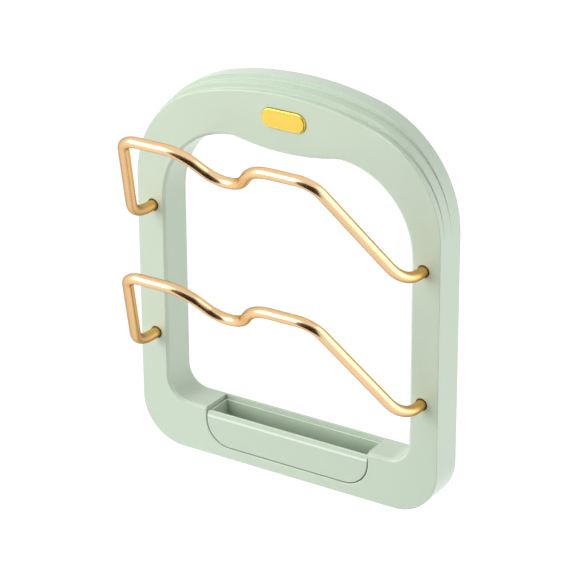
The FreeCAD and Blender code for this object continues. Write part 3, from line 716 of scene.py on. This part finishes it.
def new_finish(name):
    """Empty material with its Principled shader."""
    material = bpy.data.materials.new(name)
    material.use_nodes = True
    tree = material.node_tree
    tree.nodes.clear()
    shader = add_node(tree, "ShaderNodeBsdfPrincipled", 400, 0)
    output = add_node(tree, "ShaderNodeOutputMaterial", 700, 0)
    tree.links.new(shader.outputs["BSDF"], output.inputs["Surface"])
    return material, tree, shader


def add_bump(tree, shader, height, strength, normal=None):
    """Bump from a height, over a given normal, into the shader."""
    bump = add_node(tree, "ShaderNodeBump", 150, -250)
    set_inputs(bump, Strength=strength, Distance=GRAIN_HEIGHT)
    tree.links.new(height, bump.inputs["Height"])
    if normal is not None:
        tree.links.new(normal, bump.inputs["Normal"])
    tree.links.new(bump.outputs["Normal"], shader.inputs["Normal"])


def foot_line(tree):
    """Strength of the painted highlight line at the foot of the tray's front rim, on the front plate alone.
    """
    place = add_node(tree, "ShaderNodeTexCoord", -1100, 700)
    axes = add_node(tree, "ShaderNodeSeparateXYZ", -900, 700)
    tree.links.new(place.outputs["Object"], axes.inputs["Vector"])
    above = add_node(tree, "ShaderNodeMath", -700, 800, operation="SUBTRACT")
    above.inputs[1].default_value = FOOT_HEIGHT
    tree.links.new(axes.outputs["Z"], above.inputs[0])
    away = add_node(tree, "ShaderNodeMath", -500, 800, operation="ABSOLUTE")
    tree.links.new(above.outputs["Value"], away.inputs[0])
    line = add_node(tree, "ShaderNodeMapRange", -300, 800)
    set_inputs(line, From_Min=FOOT_FULL, From_Max=FOOT_GONE, To_Min=FOOT_STRENGTH, To_Max=0.0)
    tree.links.new(away.outputs["Value"], line.inputs["Value"])
    on_plate = add_node(tree, "ShaderNodeMath", -500, 600, operation="LESS_THAN")
    on_plate.inputs[1].default_value = FOOT_BACK
    tree.links.new(axes.outputs["Y"], on_plate.inputs[0])
    painted_line = add_node(tree, "ShaderNodeMath", -100, 700, operation="MULTIPLY")
    tree.links.new(line.outputs["Result"], painted_line.inputs[0])
    tree.links.new(on_plate.outputs["Value"], painted_line.inputs[1])
    return painted_line.outputs["Value"]


def rim_tone(tree, colour):
    """Painted shade on the tray's slanted front rim, found by the way it faces, with a painted highlight
    line at its foot.
    """
    share = add_node(tree, "ShaderNodeMapRange", -600, 400)
    set_inputs(share, From_Min=RIM_START, From_Max=RIM_FULL)
    tree.links.new(agreement(tree, -1100, 400, RIM_FACING), share.inputs["Value"])
    # Painted shade: the rim's colour is multiplied down where the surface faces the way the rim does
    rim_shaded = mixed(tree, -350, 300, share.outputs["Result"], colour, RIM_PAINTED_SHADE, "MULTIPLY")
    # Painted highlight: a pale line along the foot of the rim
    return mixed(tree, 0, 400, foot_line(tree), rim_shaded, PAINTED_HIGHLIGHT)


def moulded_plastic(name, colour, edge_radius, edge_highlight=0.35, full_bend=0.75, trough=False, **grain):
    """Satin moulded plastic with flow marks, a fine grain, softened edges and a painted highlight on them.

    A trough also has painted shade on the tray's front rim with a painted highlight line at its foot, and
    painted shade on its back wall.
    """
    material, tree, shader = new_finish(name)
    set_inputs(shader, Coat_Weight=COAT_WEIGHT, Coat_Roughness=COAT_ROUGHNESS)
    mould = place_group(tree, moulded_grain, -500, 0, Colour=(*colour, 1.0), **grain)
    edges = place_group(
        tree, soft_edges, -200, 100, Radius=edge_radius, Lighten=edge_highlight, Full_bend=full_bend
    )
    tone = mould.outputs["Colour"]
    if trough:
        tone = rim_tone(tree, tone)
    tree.links.new(tone, edges.inputs["Colour"])
    tone = edges.outputs["Colour"]
    if trough:
        shade = place_group(tree, deep_shade, 100, 200)
        tree.links.new(tone, shade.inputs["Colour"])
        tone = shade.outputs["Colour"]
    tree.links.new(tone, shader.inputs["Base Color"])
    tree.links.new(mould.outputs["Roughness"], shader.inputs["Roughness"])
    add_bump(tree, shader, mould.outputs["Height"], PLASTIC_BUMP, edges.outputs["Normal"])
    return material


def bevel_metal(tree, face_metal):
    """Metal that is whole on a bevel and has the face's lower share elsewhere."""
    rim = add_node(tree, "ShaderNodeAttribute", -300, 500, attribute_name=BEVEL_RIM)
    share = set_inputs(add_node(tree, "ShaderNodeMapRange", 0, 500), To_Min=face_metal, To_Max=1.0)
    tree.links.new(rim.outputs["Fac"], share.inputs["Value"])
    return share.outputs["Result"]


def stained_ends(tree, colour, end_reflection_tint):
    """Colour of a wire with a painted reflection of the mint frame, a tint towards its two ends."""
    ends = add_node(tree, "ShaderNodeAttribute", -300, 300, attribute_name=NEAR_END)
    return mixed(tree, 0, 200, ends.outputs["Fac"], colour, (*end_reflection_tint, 1.0), "MULTIPLY")


def dulled_bends(tree, roughness):
    """Roughness of a wire, raised on the bends above its prongs."""
    bends = add_node(tree, "ShaderNodeAttribute", -300, -300, attribute_name=NEAR_BEND)
    dull = add_node(tree, "ShaderNodeMath", 0, -100, operation="MULTIPLY_ADD")
    dull.inputs[1].default_value = BEND_DULLING
    tree.links.new(bends.outputs["Fac"], dull.inputs[0])
    tree.links.new(roughness, dull.inputs[2])
    return dull.outputs["Value"]


def plated_metal(
    name, colour, run=None, edge_tint=(1.0, 1.0, 1.0), bump=0.05, face_metal=1.0, end_reflection_tint=None, **streak
):
    """Plated metal with streaks along a run, which is an attribute of the piece, or else along X.

    Where the face's metal is below 1, only the bevel is whole metal. With an end tint, a painted reflection
    of the frame tints a wire's ends, and the bends above its prongs are duller.
    """
    material, tree, shader = new_finish(name)
    shader.inputs["Specular Tint"].default_value = (*edge_tint, 1.0)
    if face_metal < 1.0:
        tree.links.new(bevel_metal(tree, face_metal), shader.inputs["Metallic"])
    else:
        shader.inputs["Metallic"].default_value = 1.0
    if run:
        place = add_node(tree, "ShaderNodeAttribute", -800, 0, attribute_name=run).outputs["Vector"]
    else:
        place = add_node(tree, "ShaderNodeTexCoord", -800, 0).outputs["Object"]
    plating = place_group(tree, drawn_metal, -500, 0, Colour=(*colour, 1.0), **streak)
    tree.links.new(place, plating.inputs["Vector"])
    tone = plating.outputs["Colour"]
    gloss = plating.outputs["Roughness"]
    if end_reflection_tint:
        tone = stained_ends(tree, tone, end_reflection_tint)
        gloss = dulled_bends(tree, gloss)
    tree.links.new(tone, shader.inputs["Base Color"])
    tree.links.new(gloss, shader.inputs["Roughness"])
    add_bump(tree, shader, plating.outputs["Height"], bump)
    return material


def give_finish(piece, material):
    """One material on the whole of a piece."""
    piece.data.materials.clear()
    piece.data.materials.append(material)


# Operators for the pieces


class LIDRACK_OT_frame(Operator):
    """Gives the stepped front shell and the back cover their satin mint finish, with a painted highlight on
    their edges
    """

    bl_idname = "lidrack.frame"
    bl_label = "Frame"

    def execute(self, context):
        mint = context.scene.lid_rack.colours.frame_mint
        shell = moulded_plastic("frame_mint", mint, edge_radius=0.0006, edge_highlight=0.4, full_bend=0.86)
        cover = moulded_plastic(
            "cover_mint", mint, edge_radius=0.0004, Grain=1100.0, Smooth=0.42, Rough=0.54
        )
        give_finish(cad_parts["front_shell"], shell)
        give_finish(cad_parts["back_cover"], cover)
        return {"FINISHED"}


class LIDRACK_OT_tray(Operator):
    """Gives the drip tray its satin mint finish, with painted shade on its rim and back wall and painted
    highlights on its edges
    """

    bl_idname = "lidrack.tray"
    bl_label = "Drip tray"

    def execute(self, context):
        mint = context.scene.lid_rack.colours.tray_mint
        tray = moulded_plastic(
            "tray_mint", mint, edge_radius=0.0008, edge_highlight=0.8, full_bend=0.95, trough=True
        )
        give_finish(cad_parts["drip_tray"], tray)
        return {"FINISHED"}


class LIDRACK_OT_fittings(Operator):
    """Gives the rubber sleeves and the cover screws their finishes"""

    bl_idname = "lidrack.fittings"
    bl_label = "Sleeves and screws"

    def execute(self, context):
        colours = context.scene.lid_rack.colours
        rubber = moulded_plastic(
            "sleeve_rubber",
            colours.sleeve_black,
            edge_radius=0.0002,
            edge_highlight=0.0,
            Grain=2600.0,
            Smooth=0.6,
            Rough=0.75,
        )
        zinc = plated_metal(
            "screw_zinc", colours.screw_grey, Along=500.0, Across=900.0, Smooth=0.3, Rough=0.42
        )
        for name in SLEEVES:
            give_finish(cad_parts[name], rubber)
        give_finish(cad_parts["cover_screws"], zinc)
        return {"FINISHED"}


class LIDRACK_OT_hoops(Operator):
    """Bends the two wire hoops and plates them in satin gold, with a painted reflection tint at their ends
    """

    bl_idname = "lidrack.hoops"
    bl_label = "Wire hoops"

    def execute(self, context):
        settings = context.scene.lid_rack
        sizes = settings.hoops
        finish = plated_metal(
            "wire_gold",
            settings.colours.wire_gold,
            run=STRAIGHT_WIRE,
            edge_tint=(0.62, 0.42, 0.25),
            bump=0.004,
            # Painted reflection of the mint frame on the prongs: a tint towards olive gold near the wire's
            # ends
            end_reflection_tint=(0.93, 0.83, 0.49),
            Along=40.0,
            Across=500.0,
            Darkest=0.98,
            Lightest=1.02,
            Smooth=0.22,
            Rough=0.27,
        )
        lean = sizes.lean_angle
        flat_normal = np.array([0.0, -math.cos(lean), -math.sin(lean)])
        bends = [sizes.prong_bend, sizes.corner_bend, sizes.rim_bend, sizes.floor_bend]
        for node, level in HOOPS.items():
            corners = hoop_corners(sizes, getattr(sizes, level + "_height"))
            points, tangents = bent_line(corners, bends + bends[-2::-1])
            grid, straight, poles = wire_surface(
                points, tangents, flat_normal, sizes.wire_diameter / 2, sizes.end_round, sizes.sides
            )
            piece = skin(node + "_wire", grid, poles)
            mark_wire(piece, straight, sizes)
            give_finish(piece, finish)
            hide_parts(node)
            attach(piece, node)
        return {"FINISHED"}


class LIDRACK_OT_badge(Operator):
    """Makes the bare pill badge with its rounded bevel and polishes it in gold"""

    bl_idname = "lidrack.badge"
    bl_label = "Badge"

    def execute(self, context):
        settings = context.scene.lid_rack
        sizes = settings.badge
        finish = plated_metal(
            "badge_gold",
            settings.colours.badge_gold,
            bump=0.01,
            face_metal=0.68,
            Along=60.0,
            Across=700.0,
            Darkest=0.985,
            Lightest=1.01,
            Smooth=0.12,
            Rough=0.16,
        )
        middle = (BADGE_LOW + BADGE_HIGH) / 2
        radius = (BADGE_HIGH.z - BADGE_LOW.z) / 2
        half_run = (BADGE_HIGH.x - BADGE_LOW.x) / 2 - radius
        face = BADGE_LOW.y
        back = face + sizes.thickness
        insets, depths = badge_profile(sizes, radius, face)
        grid = pill_rings(middle, half_run, radius, insets, depths, sizes.cap_points)
        piece = skin("badge_plate", grid, [(middle.x, back, middle.z), (middle.x, face, middle.z)])
        on_rim = np.repeat(insets < sizes.bevel, 2 * sizes.cap_points)
        mark_points(piece, BEVEL_RIM, np.append(on_rim, [True, False]))
        give_finish(piece, finish)
        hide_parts("badge")
        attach(piece, "frame")
        return {"FINISHED"}


# Studio

# Half of the floor's width, its colour as light on the rack, and its colour and glow where it is seen
FLOOR_HALF = 8.0
FLOOR_LIT = (0.82, 0.82, 0.82, 1.0)
FLOOR_SEEN = (0.2, 0.2, 0.2, 1.0)
FLOOR_GLOW = 0.96

# The slanted card in front of the rack that gives its metal dark patches
CARD_CORNERS = [(-0.21, -0.49, -0.71), (0.27, -0.47, -0.71), (0.83, -0.49, 0.31), (-0.26, -0.96, 0.31)]
CARD_BROWN = (0.022, 0.012, 0.003, 1.0)

# The point that the lamps are turned to, and each lamp's name, place, width and height, power setting and
# whether metal mirrors it
LAMP_AIM = (0.0, -0.03, -0.10)
LAMPS = (
    ("key_lamp", (-1.68, -2.42, 0.99), (3.1, 2.5), "key_power", True),
    ("top_lamp", (-1.2, 0.0, 1.3), (2.0, 2.0), "top_power", False),
    ("side_lamp", (0.9, 0.25, 0.0), (1.0, 1.3), "side_power", True),
)

# Width of the camera's sensor in millimetres, and the nearest and farthest distance that it sees
SENSOR_WIDTH = 36.0
NEAREST, FARTHEST = 0.01, 50.0


def stage_plate(name, corners):
    """Four-cornered plate of the stage."""
    mesh = bpy.data.meshes.new(name)
    mesh.from_pydata(corners, [], [(0, 1, 2, 3)])
    piece = bpy.data.objects.new(name, mesh)
    bpy.context.scene.collection.objects.link(piece)
    return piece


def seen_directly(tree, x, y):
    """One for camera, glossy and transmission rays, and zero for the light that falls on surfaces."""
    path = add_node(tree, "ShaderNodeLightPath", x, y)
    either = add_node(tree, "ShaderNodeMath", x + 200, y, operation="MAXIMUM")
    tree.links.new(path.outputs["Is Camera Ray"], either.inputs[0])
    tree.links.new(path.outputs["Is Glossy Ray"], either.inputs[1])
    all_three = add_node(tree, "ShaderNodeMath", x + 400, y, operation="MAXIMUM")
    tree.links.new(either.outputs["Value"], all_three.inputs[0])
    tree.links.new(path.outputs["Is Transmission Ray"], all_three.inputs[1])
    return all_three.outputs["Value"]


class LIDRACK_OT_stage(Operator):
    """Sets up the pale floor, the dark card, the soft lamps, the even light and the camera"""

    bl_idname = "lidrack.stage"
    bl_label = "Stage"

    def execute(self, context):
        scene = context.scene
        sizes = scene.lid_rack.stage
        scene.view_settings.view_transform = "Standard"
        self.add_floor(sizes)
        self.add_card()
        self.add_world(scene, sizes)
        self.add_lamps(scene, sizes)
        self.add_camera(scene, sizes)
        return {"FINISHED"}

    def add_floor(self, sizes):
        """White floor, with a glow where it is seen, that keeps a faint shadow."""
        half = FLOOR_HALF
        level = CAD_BOX[0][2] - sizes.floor_drop
        floor = stage_plate(
            "studio_floor",
            [(-half, -half, level), (half, -half, level), (half, half, level), (-half, half, level)],
        )
        material = bpy.data.materials.new("floor_white")
        material.use_nodes = True
        tree = material.node_tree
        tree.nodes.clear()
        lit = set_inputs(add_node(tree, "ShaderNodeBsdfDiffuse", 0, 0), Color=FLOOR_LIT)
        shaded = set_inputs(add_node(tree, "ShaderNodeBsdfDiffuse", -200, -150), Color=FLOOR_SEEN)
        glow = set_inputs(add_node(tree, "ShaderNodeEmission", -200, -300), Strength=FLOOR_GLOW)
        shown = add_node(tree, "ShaderNodeAddShader", 0, -200)
        mix = add_node(tree, "ShaderNodeMixShader", 250, 0)
        output = add_node(tree, "ShaderNodeOutputMaterial", 500, 0)
        tree.links.new(shaded.outputs["BSDF"], shown.inputs[0])
        tree.links.new(glow.outputs["Emission"], shown.inputs[1])
        tree.links.new(seen_directly(tree, -600, 100), mix.inputs["Fac"])
        tree.links.new(lit.outputs["BSDF"], mix.inputs[1])
        tree.links.new(shown.outputs["Shader"], mix.inputs[2])
        tree.links.new(mix.outputs["Shader"], output.inputs["Surface"])
        give_finish(floor, material)

    def add_card(self):
        """Dark brown card that only reflections see."""
        card = stage_plate("dark_card", CARD_CORNERS)
        card.visible_camera = False
        card.visible_diffuse = False
        card.visible_shadow = False
        card.visible_transmission = False
        material, _, shader = new_finish("card_brown")
        set_inputs(shader, Base_Color=CARD_BROWN, Roughness=1.0)
        give_finish(card, material)

    def add_world(self, scene, sizes):
        """White where it is seen or mirrored, and dimmer as light on the rack."""
        world = bpy.data.worlds.new("studio_white")
        scene.world = world
        world.use_nodes = True
        tree = world.node_tree
        tree.nodes.clear()
        strength = add_node(tree, "ShaderNodeMapRange", 100, 0)
        set_inputs(strength, To_Min=sizes.ambient, To_Max=1.0)
        tree.links.new(seen_directly(tree, -600, 0), strength.inputs["Value"])
        sky = set_inputs(add_node(tree, "ShaderNodeBackground", 300, 0), Color=(1.0, 1.0, 1.0, 1.0))
        tree.links.new(strength.outputs["Result"], sky.inputs["Strength"])
        output = add_node(tree, "ShaderNodeOutputWorld", 500, 0)
        tree.links.new(sky.outputs["Background"], output.inputs["Surface"])

    def add_lamps(self, scene, sizes):
        """Large key lamp front left, an unmirrored lamp overhead and a near panel on the right."""
        for name, place, (width, height), power, mirrored in LAMPS:
            lamp = bpy.data.lights.new(name, "AREA")
            lamp.shape = "RECTANGLE"
            lamp.size = width
            lamp.size_y = height
            lamp.energy = getattr(sizes, power)
            holder = bpy.data.objects.new(name, lamp)
            holder.location = place
            holder.rotation_euler = (Vector(LAMP_AIM) - Vector(place)).to_track_quat("-Z", "Y").to_euler()
            holder.visible_glossy = mirrored
            scene.collection.objects.link(holder)

    def add_camera(self, scene, sizes):
        """Camera at the picture's angle, looking from the target's front right and above."""
        turn, lift, roll = sizes.camera_azimuth, sizes.camera_elevation, sizes.camera_roll
        back = Vector((math.sin(turn) * math.cos(lift), -math.cos(turn) * math.cos(lift), math.sin(lift)))
        level = Vector((math.cos(turn), math.sin(turn), 0.0))
        upright = back.cross(level)
        right = math.cos(roll) * level + math.sin(roll) * upright
        up = back.cross(right)
        camera = bpy.data.cameras.new("picture_camera")
        camera.sensor_width = SENSOR_WIDTH
        camera.lens = sizes.lens
        camera.shift_x, camera.shift_y = sizes.shift
        camera.clip_start, camera.clip_end = NEAREST, FARTHEST
        holder = bpy.data.objects.new("picture_camera", camera)
        axes = Matrix((right, up, back)).transposed().to_4x4()
        place = Vector(sizes.camera_target) + back * sizes.camera_distance
        holder.matrix_world = Matrix.Translation(place) @ axes
        scene.collection.objects.link(holder)
        scene.camera = holder


class LIDRACK_PT_pieces(Panel):
    """Lists the rack's pieces and their settings"""

    bl_label = "Pot lid rack"
    bl_space_type = "VIEW_3D"
    bl_region_type = "UI"
    bl_category = "Lid rack"

    def draw(self, context):
        for operator in OPERATORS:
            self.layout.operator(operator.bl_idname)
        settings = context.scene.lid_rack
        for group in (settings.hoops, settings.badge, settings.colours, settings.stage):
            box = self.layout.box()
            for label in group.__annotations__:
                box.prop(group, label)


OPERATORS = (
    LIDRACK_OT_frame,
    LIDRACK_OT_tray,
    LIDRACK_OT_fittings,
    LIDRACK_OT_hoops,
    LIDRACK_OT_badge,
    LIDRACK_OT_stage,
)
SETTINGS = (HoopSizes, BadgeSizes, FinishColours, StageSettings, RackSettings)
CLASSES = (*SETTINGS, *OPERATORS, LIDRACK_PT_pieces)


def register():
    """Adds the classes and the scene's settings."""
    for item in CLASSES:
        bpy.utils.register_class(item)
    bpy.types.Scene.lid_rack = PointerProperty(
        name="Lid rack", description="Settings of the pot lid rack", type=RackSettings
    )


def unregister():
    """Takes the settings and the classes away."""
    del bpy.types.Scene.lid_rack
    for item in reversed(CLASSES):
        bpy.utils.unregister_class(item)


def main():
    """Dresses the rack piece by piece."""
    register()
    bpy.ops.lidrack.frame()
    bpy.ops.lidrack.tray()
    bpy.ops.lidrack.fittings()
    bpy.ops.lidrack.hoops()
    bpy.ops.lidrack.badge()
    bpy.ops.lidrack.stage()
    bpy.context.view_layer.update()


if __name__ == "__main__":
    main()
